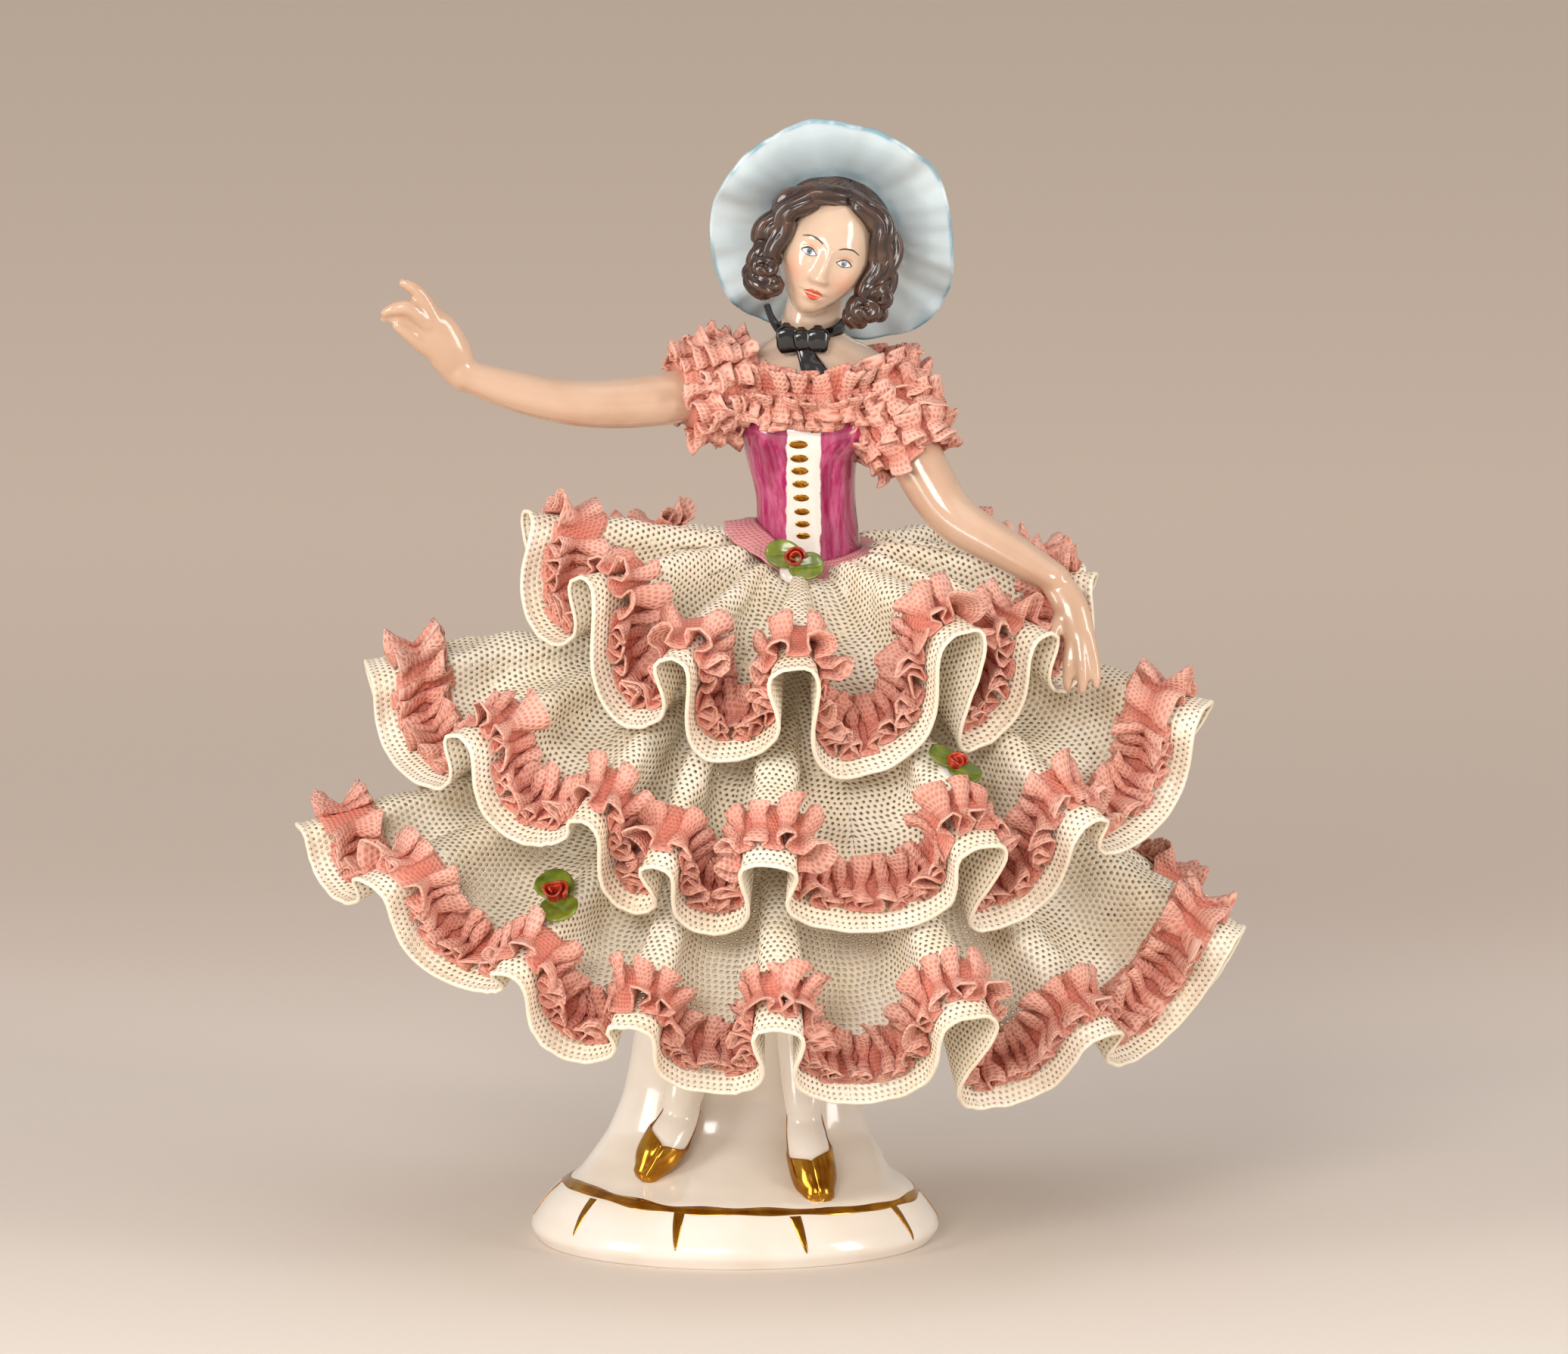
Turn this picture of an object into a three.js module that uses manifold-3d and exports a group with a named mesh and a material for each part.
import * as THREE from "three";
import { mergeVertices } from "three/addons/utils/BufferGeometryUtils.js";
import Module from "manifold-3d";

// Lace figurine: a lady in a three-tier lace skirt, standing on an oval glazed base.
// Millimetres, +Z up. X runs to the viewer's right, the lady faces -Y.
// The origin is the middle of the base's underside.

// Base and column
const baseHalfWidth = 35.9;
const baseHalfDepth = 28.2;
const baseRimHeight = 9.7;
const columnHalfWidth = 19.6;
const columnHalfDepth = 9.5;
const columnSetBack = 7.5;

// Body from the hips up: each rise is measured from the level before it
const hipHeight = 85;
const hipHalfWidth = 19;
const bellRise = 20;
const bellHalfWidth = 14.2;
const skirtRise = 14.5;
const skirtHalfWidth = 9.8;
const waistRise = 5.5;
const waistHalfWidth = 9.1;
const bustRise = 20;
const bustHalfWidth = 12.2;
const shoulderRise = 10.5;
const shoulderHalfWidth = 14.5;
const neckLength = 8.5;
const neckRadius = 5.2;
const bodyDepthShare = 0.81;

// The figure leans to the viewer's right as it rises
const leanX = 12.8;

// Cloth
const clothThickness = 1.1;
const foldCurl = 3.2;
const foldPinch = 4.6;
const rucheWidth = 9;
const rucheHeight = 2.8;
const rucheSetback = 4.2;
const rucheSeat = 0.5;
const backSeat = 0.7;

// Slant length of each tier, and how much less it reaches to the front and back
const topLength = 44;
const topEase = 0;
const middleLength = 60;
const middleEase = 0.08;
const lowerLength = 68;
const lowerEase = 0.12;

// Gap left between neighbouring solids, and between one tier and the tier it rests on
const gap = 0.35;
const restGap = 0.8;

// Folds of each hem across the front, left to right: heading from straight ahead and
// the angle the cloth hangs from plumb, in degrees, flutes and troughs in turn. A third
// value is the share of the tier's length that a shorter fold reaches.
const topFolds = [
  [-72, 108, 0.95], [-57, 79, 0.96], [-44.5, 97], [-38, 59], [-24.5, 81], [-20, 49],
  [-0.5, 80], [9, 49], [32.5, 87], [37, 55], [51, 83], [62, 62], [75, 91, 0.95], [86, 76, 0.84],
];
const middleFolds = [
  [-85, 89], [-62, 72], [-53.5, 83], [-43, 64], [-33, 70], [-28, 49], [-22.5, 60], [-15, 37],
  [-5.5, 62], [13.5, 38], [31.5, 65], [37, 43], [50.5, 68], [57, 60], [76.5, 84], [88, 73, 0.93],
];
const lowerFolds = [
  [-78, 83, 0.98], [-68, 73, 0.97], [-59.5, 79], [-46, 59, 0.94], [-38.5, 66], [-31, 47],
  [-23, 56], [-9, 37], [-1, 55.5], [13.5, 33], [28.5, 58], [40, 32], [54.5, 52],
  [66, 43], [82, 66], [94, 52],
];
const topBackFlutes = 5;
const middleBackFlutes = 5;
const lowerBackFlutes = 5;

// Folds behind: angle of the flutes and the troughs, then angle and share of the length
// of the first one past the right side and of the last one before the left side.
const topBack = { flute: 88, trough: 66, right: [88, 0.9], left: [80, 0.78] };
const middleBack = { flute: 74, trough: 54, right: [70, 0.92], left: [58, 0.92] };
const lowerBack = { flute: 64, trough: 45, right: [64, 1], left: [62, 0.75] };

// Head and hat
const headHalfWidth = 8.8;
const headHeight = 24.5;
const headTilt = 20;
const headRise = 13.3;
const hairHalfWidth = 11.6;
const brimReach = 20.3;
const brimThickness = 1.3;

// Arms
const upperArmRadius = 4.3;
const wristRadius = 3;
const fingerRadius = 1.15;
const sleeveRadius = 10.4;
const leftSleeveLength = 11.5;
const rightSleeveLength = 14.5;

// Frill, collar, choker and flowers
const frillRise = 1.1;
const frillDepth = 9.6;
const frillReach = 4.6;
const frillLift = 2.4;
const waistBandReach = 5.4;
const waistBandDip = 5.2;
const chokerDrop = 1.5;
const flowerSize = 9;
const flowerLift = 0.9;

// Levels that follow from the rises
const bellHeight = hipHeight + bellRise;
const skirtHeight = bellHeight + skirtRise;
const waistHeight = skirtHeight + waistRise;
const bustHeight = waistHeight + bustRise;
const shoulderHeight = bustHeight + shoulderRise;
const neckTopHeight = shoulderHeight + neckLength;
const chokerHeight = neckTopHeight - chokerDrop;
const headHeightAt = neckTopHeight + headRise;
const frillTop = shoulderHeight + frillRise;

const deg = Math.PI / 180;
const mix = (a, b, t) => a + (b - a) * t;
const clamp = (v, lo, hi) => Math.min(hi, Math.max(lo, v));

// Edges shorter than this are closed up after a join or a cut
const mergeTolerance = 0.12;

const wasm = await Module();
wasm.setup();

// Closed surface through a row of rings of points. A ring of one point is a pole.
// With loop set, the last ring joins the first.
function loft(rings, loop = false) {
  const spots = [];
  const starts = rings.map((ring) => {
    const start = spots.length / 3;
    ring.forEach((p) => spots.push(...p));
    return start;
  });
  const faces = [];
  const count = loop ? rings.length : rings.length - 1;
  for (let k = 0; k < count; k += 1) {
    const j = (k + 1) % rings.length;
    const n = Math.max(rings[k].length, rings[j].length);
    for (let i = 0; i < n; i += 1) {
      const pick = (r, m) => starts[r] + (m % rings[r].length);
      const [a, b] = [pick(k, i), pick(k, i + 1)];
      const [c, d] = [pick(j, i), pick(j, i + 1)];
      if (a !== b) faces.push(a, b, d);
      if (c !== d) faces.push(a, d, c);
    }
  }
  if (!loop) {
    [0, rings.length - 1].forEach((r) => {
      const ring = rings[r];
      if (ring.length === 1) return;
      const middle = spots.length / 3;
      spots.push(...[0, 1, 2].map((c) => ring.reduce((s, p) => s + p[c], 0) / ring.length));
      for (let i = 0; i < ring.length; i += 1) {
        const a = starts[r] + i;
        const b = starts[r] + ((i + 1) % ring.length);
        faces.push(...(r === 0 ? [middle, b, a] : [middle, a, b]));
      }
    });
  }
  return solid(spots, faces);
}

// Welds the points, drops empty faces and turns the surface outward.
function solid(spots, faces) {
  let geometry = new THREE.BufferGeometry();
  geometry.setAttribute("position", new THREE.Float32BufferAttribute(spots, 3));
  geometry.setIndex(faces);
  geometry = mergeVertices(geometry, 1e-4);
  const p = geometry.attributes.position.array;
  const kept = [];
  const index = geometry.index.array;
  let volume = 0;
  for (let i = 0; i < index.length; i += 3) {
    const [a, b, c] = [index[i], index[i + 1], index[i + 2]];
    if (a === b || b === c || c === a) continue;
    kept.push(a, b, c);
    const [u, v, w] = [a, b, c].map((k) => new THREE.Vector3(p[3 * k], p[3 * k + 1], p[3 * k + 2]));
    volume += u.dot(v.cross(w));
  }
  if (volume < 0) {
    for (let i = 0; i < kept.length; i += 3) [kept[i], kept[i + 1]] = [kept[i + 1], kept[i]];
  }
  geometry.setIndex(kept);
  return geometry;
}

function toManifold(geometry) {
  return new wasm.Manifold(new wasm.Mesh({
    numProp: 3,
    vertProperties: Float32Array.from(geometry.attributes.position.array),
    triVerts: Uint32Array.from(geometry.index.array),
  }));
}

function fromManifold(body) {
  const mesh = body.getMesh();
  const spots = [];
  for (let i = 0; i < mesh.vertProperties.length; i += mesh.numProp) {
    spots.push(...mesh.vertProperties.slice(i, i + 3));
  }
  return solid(spots, Array.from(mesh.triVerts));
}

// Joins the first list of shapes into one, then cuts away the second list.
function combine(parts, cuts = []) {
  let body = parts.map(toManifold).reduce((a, b) => a.add(b));
  cuts.forEach((cut) => {
    body = body.subtract(toManifold(cut));
  });
  return fromManifold(body.simplify(mergeTolerance));
}

// Round tube along a path, its ends drawn in to rounded caps.
function tube(path, radii, sides = 8, flat = 1) {
  const at = path.map((p) => new THREE.Vector3(...p));
  const rings = [];
  let across = null;
  at.forEach((p, k) => {
    const ahead = at[Math.min(k + 1, at.length - 1)].clone();
    ahead.sub(at[Math.max(k - 1, 0)]).normalize();
    if (!across) across = new THREE.Vector3(0.1, -1, 0.2);
    across.addScaledVector(ahead, -across.dot(ahead)).normalize();
    const side = new THREE.Vector3().crossVectors(ahead, across);
    const ring = (shift, r) => Array.from({ length: sides }, (_, i) => {
      const a = (2 * Math.PI * i) / sides;
      const q = p.clone().addScaledVector(ahead, shift);
      q.addScaledVector(across, r * flat * Math.cos(a)).addScaledVector(side, r * Math.sin(a));
      return q.toArray();
    });
    if (k === 0) rings.push(ring(-0.7 * radii[0], 0.55 * radii[0]));
    rings.push(ring(0, radii[k]));
    if (k === at.length - 1) rings.push(ring(0.7 * radii[k], 0.55 * radii[k]));
  });
  return loft(rings);
}

// Ball stretched to three half sizes, turned by Euler angles in degrees.
function ball(centre, half, turn = [0, 0, 0], around = 12, down = 7) {
  const spin = new THREE.Euler(turn[0] * deg, turn[1] * deg, turn[2] * deg);
  const rings = Array.from({ length: down + 1 }, (_, k) => {
    const t = (Math.PI * k) / down;
    const n = k === 0 || k === down ? 1 : around;
    return Array.from({ length: n }, (_, i) => {
      const a = (2 * Math.PI * i) / around;
      const q = new THREE.Vector3(
        half[0] * Math.sin(t) * Math.cos(a),
        half[1] * Math.sin(t) * Math.sin(a),
        -half[2] * Math.cos(t),
      );
      return q.applyEuler(spin).add(new THREE.Vector3(...centre)).toArray();
    });
  });
  return loft(rings);
}

// Body sections: height, middle x, middle y, half width, half depth
const share = bodyDepthShare;
const lean = (z) => leanX * clamp((z - 20) / (waistHeight - 20), 0, 1);
const bodySections = [
  [0, 0, 0, baseHalfWidth - 1.3, baseHalfDepth - 1.2],
  [2.4, 0, 0, baseHalfWidth, baseHalfDepth],
  [0.65 * baseRimHeight, 0, 0, baseHalfWidth - 2, baseHalfDepth - 1.8],
  [baseRimHeight, 0, 0, baseHalfWidth - 5.2, baseHalfDepth - 4.6],
  [baseRimHeight + 2, 0, 1.6, baseHalfWidth - 8.4, baseHalfDepth - 8.8],
  [baseRimHeight + 5, 0.4, 4.6, columnHalfWidth + 5.6, columnHalfDepth + 4.6],
  [baseRimHeight + 9, 0.6, columnSetBack - 0.6, columnHalfWidth + 3, columnHalfDepth + 1],
  [baseRimHeight + 16.3, lean(30), columnSetBack, columnHalfWidth + 0.9, columnHalfDepth],
  [baseRimHeight + 26.3, lean(36), columnSetBack - 0.6, columnHalfWidth, columnHalfDepth + 0.4],
  [hipHeight - 27, lean(hipHeight - 27), 2.5, hipHalfWidth + 0.5, share * hipHalfWidth - 1.5],
  [hipHeight, lean(hipHeight), 0, hipHalfWidth, share * hipHalfWidth],
  [bellHeight, lean(bellHeight), 0, bellHalfWidth, share * bellHalfWidth],
  [skirtHeight, lean(skirtHeight), -0.6, skirtHalfWidth, share * skirtHalfWidth],
  [waistHeight, leanX, -1, waistHalfWidth, share * waistHalfWidth],
  [waistHeight + 7, leanX - 0.3, -1.6, waistHalfWidth - 0.4, share * waistHalfWidth + 0.8],
  [bustHeight - 5, leanX - 1, -2.4, bustHalfWidth - 2.4, share * bustHalfWidth - 0.6],
  [bustHeight, leanX, -2.6, bustHalfWidth, share * bustHalfWidth],
  [bustHeight + 5.5, leanX + 0.6, -1.8, shoulderHalfWidth - 0.6, share * bustHalfWidth - 1],
  [shoulderHeight, leanX + 0.7, -1.2, shoulderHalfWidth, 7.6],
  [shoulderHeight + 3.2, leanX + 0.7, -0.8, shoulderHalfWidth - 4, 6.6],
  [shoulderHeight + 5.2, leanX + 0.6, -0.6, neckRadius + 1.6, neckRadius + 0.6],
  [neckTopHeight - 2, leanX + 0.6, -0.5, neckRadius + 0.1, neckRadius + 0.1],
  [neckTopHeight, leanX + 0.7, -0.6, neckRadius, neckRadius],
];

function bodyAt(z) {
  const over = bodySections.findIndex((row) => row[0] > z);
  const k = over < 0 ? bodySections.length - 1 : Math.max(over, 1);
  const [a, b] = [bodySections[k - 1], bodySections[k]];
  const t = clamp((z - a[0]) / (b[0] - a[0]), 0, 1);
  return a.map((v, i) => mix(v, b[i], t));
}

function bodyShape(grow = 0, from = 0) {
  const sides = 16;
  const rows = bodySections.filter((row) => row[0] >= from);
  return loft(rows.map(([z, cx, cy, rx, ry]) => Array.from({ length: sides }, (_, i) => {
    const a = (2 * Math.PI * i) / sides;
    return [cx + (rx + grow) * Math.cos(a), cy + (ry + grow) * Math.sin(a), z];
  })));
}

// Legs in slippers, standing in front of the column, at heights over the base's rim
const raised = (path, level) => path.map(([x, y, up]) => [x, y, level + up]);
const onBase = (path) => raised(path, baseRimHeight);
const legs = [
  tube(onBase([[-6, 0, 36.3], [-8.6, -6.5, 21.3], [-12.4, -8.4, 10.9]]), [4.6, 4.1, 3.5], 7),
  tube(onBase([[-9.4, -7.2, 11.8], [-12.6, -9.2, 7.9], [-15, -11, 4.9]]), [2.6, 3.9, 2.3], 7),
  tube(onBase([[11, 0, 36.3], [12.4, -7, 21.3], [13.4, -9.6, 9.3]]), [4.6, 4.1, 3.4], 7),
  tube(onBase([[12.2, -8.4, 10.3], [13.4, -11.4, 5.7], [14.4, -16, 2.5]]), [3, 4, 3.1], 7),
];
const castBody = combine([bodyShape(), ...legs]);

// A tier of cloth gathered on a ring round the body, ending in curling flutes.
function makeTier({ ringHeight, length, ease, folds, backFlutes, lift, back }) {
  const [, cx, cy, rx, ry] = bodyAt(ringHeight);
  const edge = gap + clothThickness / 2;
  const all = folds.map((f) => [...f]);
  const last = folds[folds.length - 1];
  const first = folds[0];
  const span = first[0] + 360 - last[0];
  const extra = 2 * backFlutes;
  for (let k = 1; k <= extra; k += 1) {
    const side = k === 1 ? back.right : k === extra ? back.left : null;
    const shape = side ?? [k % 2 === 1 ? back.flute : back.trough];
    all.push([last[0] + (span * k) / (extra + 1), ...shape]);
  }
  const n = all.length;
  const fold = (k) => {
    const turns = Math.floor(k / n);
    const f = all[k - turns * n];
    return [f[0] + 360 * turns, f[1], f[2] ?? 1];
  };
  const straight = (u) => {
    const k = Math.floor(u);
    return mix(fold(k)[0], fold(k + 1)[0], u - k);
  };
  const hem = (u) => {
    const k = Math.floor(u);
    const t = u - k;
    const [a, b] = [fold(k), fold(k + 1)];
    const step = clamp(Math.abs(b[0] - a[0]) / 17, 0, 1.2);
    const towards = a[1] > b[1] ? -1 : 1;
    const depth = clamp(Math.abs(b[1] - a[1]) / 15, 0, 1);
    const swing = foldCurl * depth * Math.max(step, 0.6) * Math.sin(2 * Math.PI * t);
    const pinch = towards * foldPinch * step * Math.sin(Math.PI * t) ** 2;
    const over = (1 - Math.cos(Math.PI * t)) / 2;
    return [mix(a[0], b[0], t) + swing + pinch, mix(a[1], b[1], over), mix(a[2], b[2], over)];
  };
  const point = (u, s) => {
    const near = [-1, -0.5, 0, 0.5, 1].reduce((sum, d) => sum + straight(u + d), 0) / 5;
    const [heading, angle, part] = hem(u);
    const [h0, h1, a] = [near * deg, heading * deg, angle * deg];
    const reach = length * part * (1 - ease * Math.cos(h1) ** 2);
    const out = reach * Math.sin(a);
    const rise = lift * Math.sin(Math.PI * s);
    const x = mix((rx + edge) * Math.sin(h0), (rx + edge + out) * Math.sin(h1), s);
    const y = mix((ry + edge) * Math.cos(h0), (ry + edge + out) * Math.cos(h1), s);
    const up = rise * Math.sin(a);
    const push = rise * Math.cos(a);
    return new THREE.Vector3(
      cx + x + push * Math.sin(h1),
      cy - y - push * Math.cos(h1),
      ringHeight - reach * Math.cos(a) * s + up,
    );
  };
  const normal = (u, s) => {
    const along = point(u + 0.03, s).sub(point(u - 0.03, s));
    const down = point(u, s + 0.02).sub(point(u, s - 0.02));
    return down.cross(along).normalize();
  };
  return { count: n, shown: folds.length - 1, length, point, normal, all };
}

// Height of a tier's upper face over the ground, kept in square cells.
function topOf(tier, cell) {
  const heights = new Map();
  const ruche = clothThickness / 2 + gap + rucheHeight;
  for (let u = 0; u < tier.count; u += 0.06) {
    for (let s = 0; s <= 1; s += 0.02) {
      const back = (1 - s) * tier.length - rucheSetback;
      const inRuche = back > -1 && back < rucheWidth + 1;
      const p = tier.point(u, s).addScaledVector(tier.normal(u, s), inRuche ? ruche : 0.6);
      const key = `${Math.round(p.x / cell)},${Math.round(p.y / cell)}`;
      heights.set(key, Math.max(heights.get(key) ?? -1, p.z));
    }
  }
  return heights;
}

// Raises the folds of a tier until its cloth lies on the tier beneath it.
function settle(tier, beneath) {
  const cell = 1.6;
  const heights = topOf(beneath, cell);
  const clear = clothThickness / 2 + restGap;
  for (let pass = 0; pass < 60; pass += 1) {
    const raise = new Set();
    for (let u = 0; u < tier.count; u += 0.125) {
      for (let s = 0.15; s <= 1.001; s += 0.05) {
        const p = tier.point(u, s).addScaledVector(tier.normal(u, s), -clear);
        const key = `${Math.round(p.x / cell)},${Math.round(p.y / cell)}`;
        if ((heights.get(key) ?? -1) <= p.z) continue;
        const k = Math.floor(u);
        if (u - k < 0.7) raise.add(k);
        if (u - k > 0.3) raise.add((k + 1) % tier.count);
        break;
      }
    }
    if (raise.size === 0) return tier;
    raise.forEach((k) => {
      tier.all[k][1] += 1;
    });
  }
  return tier;
}

// Columns of corners across each fold: four in a wide one in front, two in one behind
function tierColumns(tier) {
  const columns = [];
  for (let k = 0; k < tier.count; k += 1) {
    const width = tier.all[(k + 1) % tier.count][0] - tier.all[k][0];
    const seam = k === tier.count - 1;
    const steps = seam ? 4 : k >= tier.shown ? 2 : width < 8 ? 3 : 4;
    for (let i = 0; i < steps; i += 1) columns.push(k + i / steps);
  }
  return columns;
}

// Rows of corners from the gathered edge to the hem
const clothRows = [0, 0.55, 1];

function facePoint(tier, u, s, d) {
  return tier.point(u, s).addScaledVector(tier.normal(u, s), d);
}

function clothShape(tier) {
  const half = clothThickness / 2;
  return loft(tierColumns(tier).map((u) => [
    ...clothRows.map((s) => facePoint(tier, u, s, half).toArray()),
    ...[...clothRows].reverse().map((s) => facePoint(tier, u, s, -half).toArray()),
  ]), true);
}

function rucheShape(tier) {
  const s1 = 1 - rucheSetback / tier.length;
  const s0 = s1 - rucheWidth / tier.length;
  const row = clothRows[clothRows.length - 2];
  return loft(tierColumns(tier).map((u) => {
    const from = facePoint(tier, u, row, clothThickness / 2);
    const to = facePoint(tier, u, 1, clothThickness / 2);
    const behind = u > tier.shown ? backSeat : 0;
    const side = (s, d) => {
      const seat = from.clone().lerp(to, (s - row) / (1 - row));
      return seat.addScaledVector(tier.normal(u, s), d + behind).toArray();
    };
    return [
      side(s0, rucheSeat), side(mix(s0, s1, 0.2), rucheSeat + rucheHeight),
      side(mix(s0, s1, 0.8), rucheSeat + rucheHeight), side(s1, rucheSeat),
    ];
  }), true);
}

const tiers = {
  lower: makeTier({
    ringHeight: hipHeight, length: lowerLength, ease: lowerEase, folds: lowerFolds,
    backFlutes: lowerBackFlutes, lift: 3, back: lowerBack,
  }),
  middle: makeTier({
    ringHeight: bellHeight, length: middleLength, ease: middleEase, folds: middleFolds,
    backFlutes: middleBackFlutes, lift: 4, back: middleBack,
  }),
  top: makeTier({
    ringHeight: skirtHeight, length: topLength, ease: topEase, folds: topFolds,
    backFlutes: topBackFlutes, lift: 2.5, back: topBack,
  }),
};

settle(tiers.middle, tiers.lower);
settle(tiers.top, tiers.middle);

// Gathered frill round the shoulders and across the bust
function neckFrill(grow = 0) {
  const columns = 20;
  return loft(Array.from({ length: columns }, (_, i) => {
    const h = (2 * Math.PI * i) / columns;
    const wave = 0.6 * Math.cos(7 * h);
    const spot = (z, out) => {
      const [, cx, cy, rx, ry] = bodyAt(z);
      const reach = out + grow;
      return [cx + (rx + reach) * Math.sin(h), cy - (ry + reach) * Math.cos(h), z];
    };
    const top = frillTop + frillLift * Math.sin(h) ** 2;
    const bottom = top - frillDepth;
    return [
      spot(top + grow, -2), spot(top + grow, 1.6 + wave * 0.4),
      spot(mix(top, bottom, 0.45), frillReach + wave), spot(bottom - grow + 1.5, frillReach + wave),
      spot(bottom - grow, -2),
    ];
  }), true);
}

// Puffed sleeve round an upper arm
function sleeve(from, to, length, hole) {
  const a = new THREE.Vector3(...from);
  const axis = new THREE.Vector3(...to).sub(a).normalize();
  const across = new THREE.Vector3(0, -1, 0).addScaledVector(axis, axis.y).normalize();
  const side = new THREE.Vector3().crossVectors(axis, across);
  const columns = 12;
  const profile = [
    [0, hole], [0.1, 0.86 * sleeveRadius], [0.5, sleeveRadius], [0.94, 0.84 * sleeveRadius], [1, hole],
  ];
  return loft(Array.from({ length: columns }, (_, i) => {
    const h = (2 * Math.PI * i) / columns;
    const wave = 1 + 0.04 * Math.cos(6 * h);
    return profile.map(([t, r]) => {
      const reach = r === hole ? r : r * wave;
      const p = a.clone().addScaledVector(axis, t * length);
      p.addScaledVector(across, reach * Math.cos(h)).addScaledVector(side, reach * Math.sin(h));
      return p.toArray();
    });
  }), true);
}

const bodyCut = bodyShape(gap, waistHeight + 6);
const frill = combine([neckFrill()], [bodyCut]);
const frillCut = neckFrill(gap);

const between = (a, b, t) => a.map((v, i) => mix(v, b[i], t));

// Arm raised to the viewer's left, hand bent up. Heights are over the shoulder line.
const onShoulder = (path) => raised(path, shoulderHeight);
const [leftShoulder, leftUpper, leftElbow, leftForearm, leftWrist] = onShoulder([
  [1, -2.6, -1.9], [-10.4, -6.4, -4.3], [-26, -13, -3.9], [-37, -16.6, -1.3], [-47.5, -20, 2.3],
]);
const leftArm = combine([
  tube(
    [
      between(leftShoulder, leftUpper, 0.92), between(leftUpper, leftElbow, 0.2), leftElbow,
      leftForearm, leftWrist,
    ],
    [upperArmRadius + 0.3, upperArmRadius + 0.3, upperArmRadius, 3.6, wristRadius], 7,
  ),
  tube([leftWrist, ...onShoulder([[-50.2, -21.2, 7.1], [-52.4, -22, 11.5]])],
    [3.1, 3.3, 2.6], 7, 0.62),
  tube(onShoulder([[-51.6, -22, 11], [-54.6, -22.8, 15.1], [-57.9, -23.6, 19.1]]),
    [1.6, 1.35, fingerRadius], 5),
  tube(onShoulder([[-52.2, -23, 11.1], [-56.2, -24.4, 13.3], [-60.3, -24, 13.1]]),
    [1.6, 1.4, fingerRadius], 5),
  tube(onShoulder([[-52.6, -21.2, 9.1], [-56, -21.8, 10.7], [-59.6, -22, 11.5]]),
    [1.6, 1.3, fingerRadius], 5),
  tube(onShoulder([[-51.8, -21, 6.5], [-55.2, -21.6, 8.7], [-58.4, -22.2, 11.5]]),
    [1.6, 1.3, fingerRadius], 5),
]);

// Arm lowered to the viewer's right, hand hanging over the skirt
const [rightShoulder, rightUpper, rightElbow, rightForearm, rightWrist] = onShoulder([
  [24.8, -2.4, -2.3], [31.8, -6.6, -15.1], [38.4, -11.6, -24.9], [47.6, -17.4, -29.3],
  [56, -22.6, -33.5],
]);
const rightArm = combine([
  tube(
    [between(rightShoulder, rightUpper, 0.7), rightUpper, rightElbow, rightForearm, rightWrist],
    [upperArmRadius + 0.3, upperArmRadius + 0.3, upperArmRadius - 0.2, 3.4, wristRadius], 7,
  ),
  tube(onShoulder([[55.6, -22.4, -33.3], [58.8, -25, -38.1], [59.8, -26.4, -43.5]]),
    [2.8, 3, 2.7], 7, 0.62),
  tube(onShoulder([[58.4, -26.2, -42.9], [58, -27.8, -47.5], [57.9, -28.6, -50.9]]),
    [1.6, 1.35, fingerRadius], 5),
  tube(onShoulder([[59.8, -26.8, -43.1], [60.1, -28.6, -47.3], [60.2, -29.4, -50.5]]),
    [1.6, 1.3, fingerRadius], 5),
  tube(onShoulder([[61.4, -26, -42.7], [62.5, -27.6, -47.1], [62.8, -28.4, -50.5]]),
    [1.6, 1.3, fingerRadius], 5),
  tube(onShoulder([[57.2, -25, -39.9], [55.4, -27.4, -42.9], [55.2, -28.6, -45.1]]),
    [1.3, 1.1, 0.9], 5),
]);

const leftSleeve = combine(
  [sleeve(leftShoulder, leftUpper, leftSleeveLength, upperArmRadius + 0.3 + gap)],
  [bodyCut, frillCut],
);
const rightSleeve = combine(
  [sleeve(rightShoulder, rightUpper, rightSleeveLength, upperArmRadius + 0.3 + gap)],
  [bodyCut, frillCut],
);

// Flat lace collar standing out from the waist, dipping to the front
const waistBand = loft(Array.from({ length: 20 }, (_, i) => {
  const h = (2 * Math.PI * i) / 20;
  const front = Math.max(0, Math.cos(h)) ** 3;
  const z = waistHeight + 1.4 - waistBandDip * front;
  const spot = (up, out) => {
    const [, cx, cy, rx, ry] = bodyAt(z + up);
    return [cx + (rx + out) * Math.sin(h), cy - (ry + out) * Math.cos(h), z + up];
  };
  const reach = mix(waistBandReach, 2.2, front);
  return [spot(0.5, gap), spot(0.3, reach), spot(-0.6, reach), spot(-0.6, gap)];
}), true);

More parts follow.
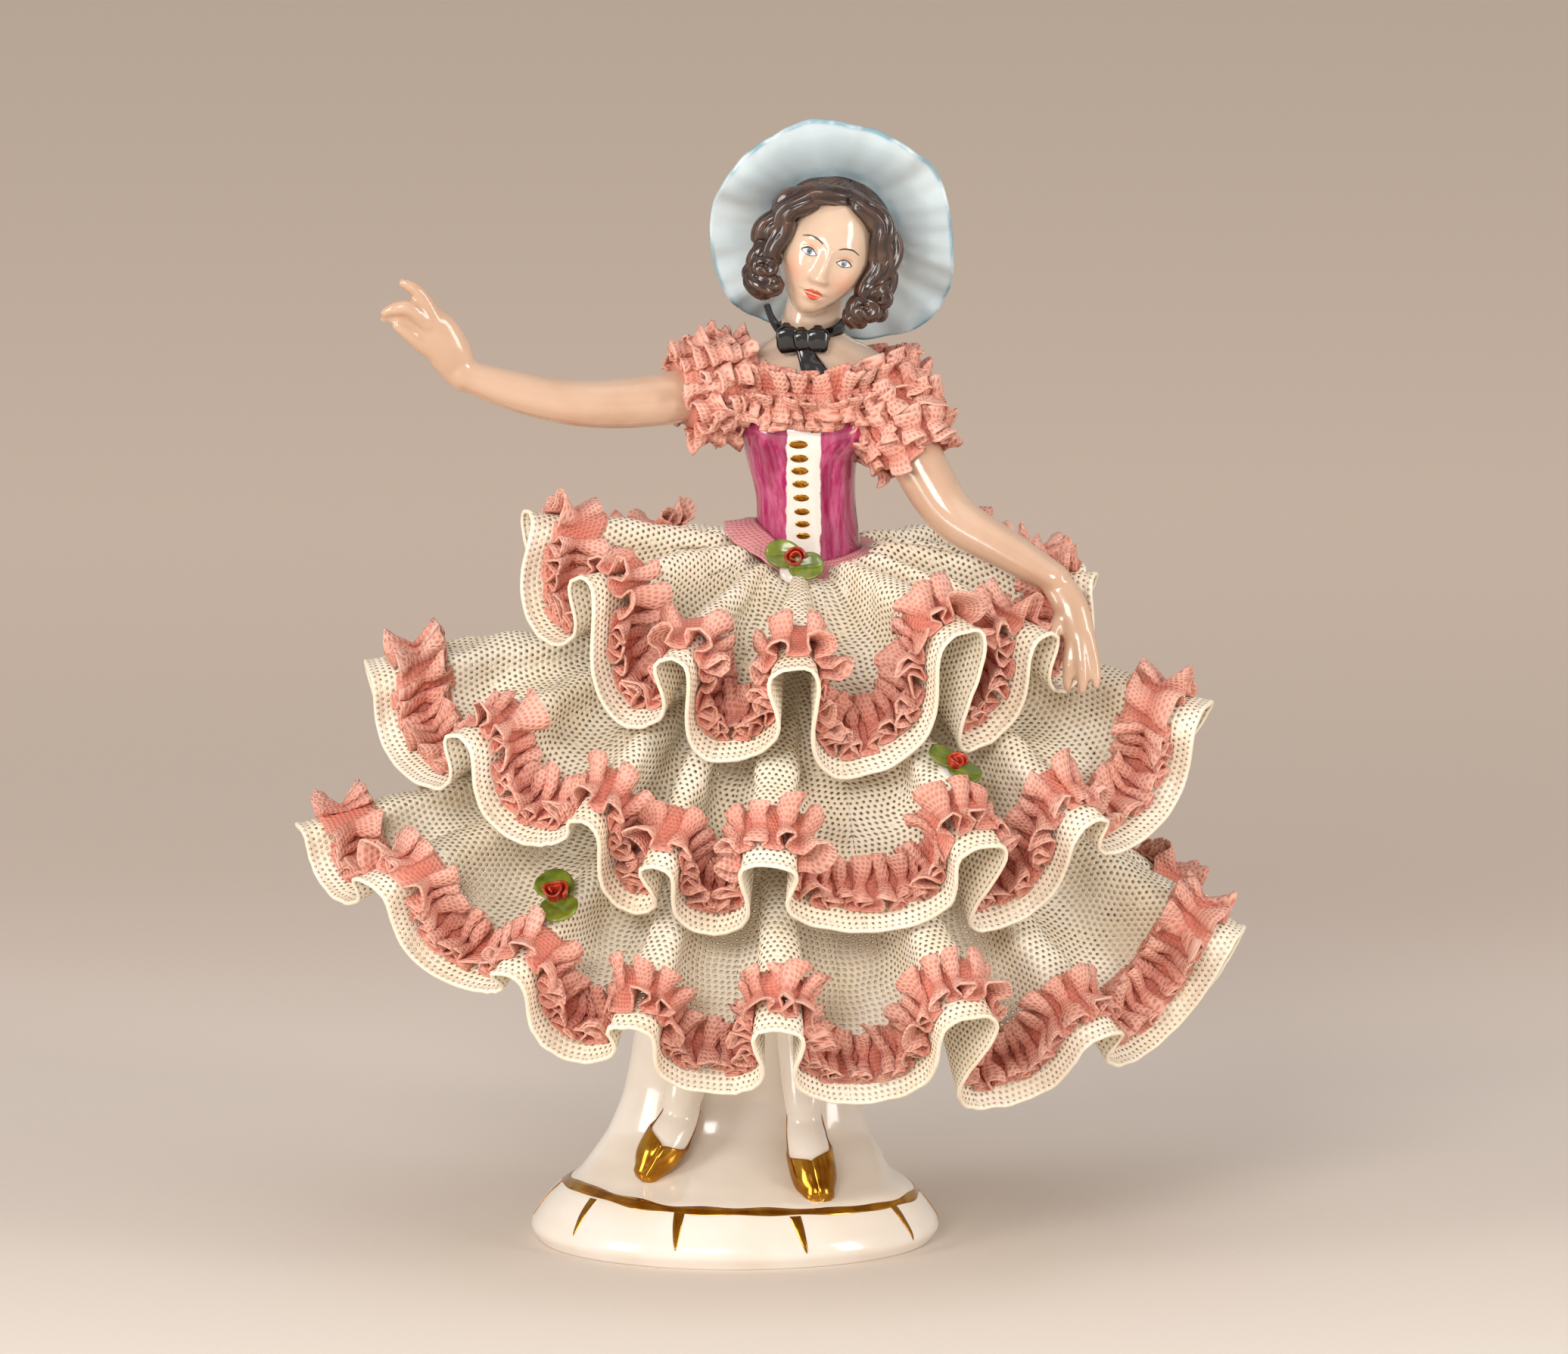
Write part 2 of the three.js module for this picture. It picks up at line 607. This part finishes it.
// Choker, bow and tails
const chokerRing = loft(Array.from({ length: 12 }, (_, i) => {
  const h = (2 * Math.PI * i) / 12;
  return [[-1.2, gap + 0.2], [-1.2, 1.5], [1.1, 1.5], [1.1, gap + 0.2]].map(([up, out]) => {
    const [, cx, cy, rx, ry] = bodyAt(chokerHeight + up);
    const z = chokerHeight + up;
    return [cx + (rx + out) * Math.sin(h), cy - (ry + out) * Math.cos(h), z];
  });
}), true);
const [, knotX, neckY, , neckDepth] = bodyAt(chokerHeight);
const knotY = neckY - neckDepth - 1.8;
const bow = combine([
  chokerRing,
  ball([knotX - 3.4, knotY + 0.3, chokerHeight - 0.9], [2.9, 1.2, 2], [0, 8, 0], 6, 4),
  ball([knotX + 3, knotY + 0.5, chokerHeight - 1], [2.4, 1.1, 1.8], [0, -8, 0], 6, 4),
  tube([
    [knotX - 0.2, knotY + 0.3, chokerHeight - 0.6], [knotX + 0.2, knotY - 1.7, chokerHeight - 2.4],
    [knotX + 0.8, knotY - 3.5, chokerHeight - 5.6],
  ], [1.5, 1.5, 1.5], 4, 0.6),
]);

// Head: neck, oval face, small nose, and hair in a soft mass with side curls
const tilt = [0, headTilt, 0];
const headUp = new THREE.Vector3(Math.sin(headTilt * deg), 0, Math.cos(headTilt * deg));
const headSide = new THREE.Vector3(headUp.z, 0, -headUp.x);
const headCentre = new THREE.Vector3(leanX + 3.4, -4.6, headHeightAt);
const inHead = (side, back, up) => headCentre.clone()
  .addScaledVector(headSide, side).addScaledVector(headUp, up)
  .add(new THREE.Vector3(0, back, 0)).toArray();
const neckTop = bodyAt(neckTopHeight);
const neckStub = loft([
  [neckTop[1], neckTop[2], neckTopHeight + gap, neckRadius - 0.1],
  [neckTop[1] + 0.8, neckTop[2] - 0.4, neckTopHeight + 4, neckRadius - 0.4],
  [neckTop[1] + 1.8, neckTop[2] - 1.2, neckTopHeight + 8, neckRadius - 0.2],
].map(([x, y, z, r]) => Array.from({ length: 10 }, (_, i) => [
  x + r * Math.cos((Math.PI * i) / 5), y + r * Math.sin((Math.PI * i) / 5), z,
])));
const faceHalf = headHeight / 2;
const head = combine([
  neckStub,
  ball(inHead(0, -1.2, 1.2), [headHalfWidth, 9.2, faceHalf - 3], tilt, 12, 7),
  ball(inHead(0, -3.4, -3), [headHalfWidth - 2.2, 7.2, faceHalf - 4.2], tilt, 10, 6),
  ball(inHead(0, -10.6, -1), [1.1, 1.5, 2.2], tilt, 6, 4),
  ball(inHead(0, 1.4, 2.4), [hairHalfWidth, 9, faceHalf - 2.4], tilt, 11, 6),
  tube([inHead(-9, -4.6, 6), inHead(-10.6, -5.4, 0), inHead(-10.4, -5.6, -5), inHead(-8.6, -5.6, -8.2)],
    [2.6, 3.2, 3, 2.2], 6),
  tube([inHead(8.2, -4.6, 6), inHead(9.8, -5.2, 0), inHead(10.4, -5.2, -5), inHead(9.4, -5.4, -9)],
    [2.6, 3, 3.1, 2.2], 6),
], [bodyCut]);

// Bonnet: rounded crown behind the head and a wide wavy brim framing it
const brimRadii = [1.02, 1.08, 1.1, 1.08, 1.03, 1.03, 0.92, 1.16];
const hatCentre = new THREE.Vector3(leanX + 4.2, 3.7, headHeightAt + 1.4);
const hatTilt = 15 * deg;
const hatBack = new THREE.Vector3(0, Math.cos(hatTilt), Math.sin(hatTilt));
const hatUp = new THREE.Vector3(0, -Math.sin(hatTilt), Math.cos(hatTilt));
function brimAt(angle) {
  const k = (angle / (2 * Math.PI)) * brimRadii.length;
  const [i, t] = [Math.floor(k), k - Math.floor(k)];
  const pick = (j) => brimRadii[(i + j + brimRadii.length) % brimRadii.length];
  const [a, b, c, d] = [pick(-1), pick(0), pick(1), pick(2)];
  return brimReach * (b + 0.5 * t * (c - a + t * (2 * a - 5 * b + 4 * c - d
    + t * (3 * (b - c) + d - a))));
}
const crownRadius = hairHalfWidth + 1.9;
const hat = loft(Array.from({ length: 24 }, (_, i) => {
  const h = (2 * Math.PI * i) / 24;
  const reach = brimAt(h);
  const flare = 3.2 * (0.5 + 0.5 * Math.sin(h)) + 1.1 * Math.cos(5 * h + 0.6);
  const spot = (r, back) => hatCentre.clone()
    .addScaledVector(hatBack, back)
    .addScaledVector(hatUp, r * Math.sin(h))
    .add(new THREE.Vector3(r * Math.cos(h), 0, 0)).toArray();
  const t = brimThickness;
  const rim = Math.max(reach, crownRadius + 1.8);
  return [
    spot(0, 13.2), spot(0.68 * crownRadius, 11.2), spot(crownRadius, 5.6),
    spot(crownRadius + 0.9, 0.6), spot(rim, -flare),
    spot(rim - 0.5, -flare - t), spot(crownRadius - 0.4, -0.8),
    spot(crownRadius - t, 5.2), spot(0.6 * crownRadius, 9.9), spot(0, 11.8),
  ];
}), true);

// Applied flower: a bud between two leaves on a small pad
function flower(centre, facing, size) {
  const out = new THREE.Vector3(...facing).normalize();
  const side = new THREE.Vector3(1, 0, 0).addScaledVector(out, -out.x).normalize();
  const turn = new THREE.Matrix4().makeBasis(side, new THREE.Vector3().crossVectors(out, side), out);
  const angles = new THREE.Euler().setFromRotationMatrix(turn);
  const euler = [angles.x / deg, angles.y / deg, angles.z / deg];
  const at = (a, b, c) => new THREE.Vector3(a, b, c).applyMatrix4(turn)
    .add(new THREE.Vector3(...centre)).toArray();
  return combine([
    ball(at(0, 0, 0.9), [0.24 * size, 0.24 * size, 0.22 * size], euler, 6, 4),
    ball(at(-0.26 * size, 0.1 * size, 0.3), [0.28 * size, 0.2 * size, 0.7], euler, 6, 3),
    ball(at(0.26 * size, -0.1 * size, 0.3), [0.28 * size, 0.2 * size, 0.7], euler, 6, 3),
  ]);
}

function flowerOn(tier, u, s, size) {
  const out = tier.normal(u, s);
  const spot = tier.point(u, s).addScaledVector(out, clothThickness / 2 + gap + flowerLift);
  return flower(spot.toArray(), out.toArray(), size);
}

const group = new THREE.Group();
group.name = "lace_figurine";

function place(name, geometry, color, roughness, metalness = 0) {
  geometry.computeVertexNormals();
  const material = new THREE.MeshStandardMaterial({ color, roughness, metalness });
  const mesh = new THREE.Mesh(geometry, material);
  mesh.name = name;
  group.add(mesh);
}

place("cast_body", castBody, 0xf2ece2, 0.2);
place("skirt_tier_lower", clothShape(tiers.lower), 0xebe1cd, 0.5);
place("skirt_tier_middle", clothShape(tiers.middle), 0xebe1cd, 0.5);
place("skirt_tier_top", clothShape(tiers.top), 0xebe1cd, 0.5);
place("ruche_lower", rucheShape(tiers.lower), 0xe8a096, 0.6);
place("ruche_middle", rucheShape(tiers.middle), 0xe8a096, 0.6);
place("ruche_top", rucheShape(tiers.top), 0xe8a096, 0.6);

place("head", head, 0xf0d8c8, 0.25);
place("hat", hat, 0xb9c8cc, 0.2);
place("arm_left", leftArm, 0xe8c4a4, 0.3);
place("arm_right", rightArm, 0xe8c4a4, 0.3);
place("sleeve_left", leftSleeve, 0xe8a096, 0.6);
place("sleeve_right", rightSleeve, 0xe8a096, 0.6);
place("neckline_frill", frill, 0xe8a096, 0.6);
place("waist_band", waistBand, 0xd98a90, 0.6);
place("neck_bow", bow, 0x141414, 0.2);
const waistSpot = [leanX - 2.2, -12.9, waistHeight - 1.7];
place("rose_waist", flower(waistSpot, [-0.1, -1, 0.7], flowerSize), 0x7a8c2c, 0.3);
place("rose_middle", flowerOn(tiers.middle, 10.02, 0.69, flowerSize), 0x7a8c2c, 0.3);
place("rose_lower", flowerOn(tiers.lower, 4.02, 0.71, flowerSize), 0x7a8c2c, 0.3);

export default group;
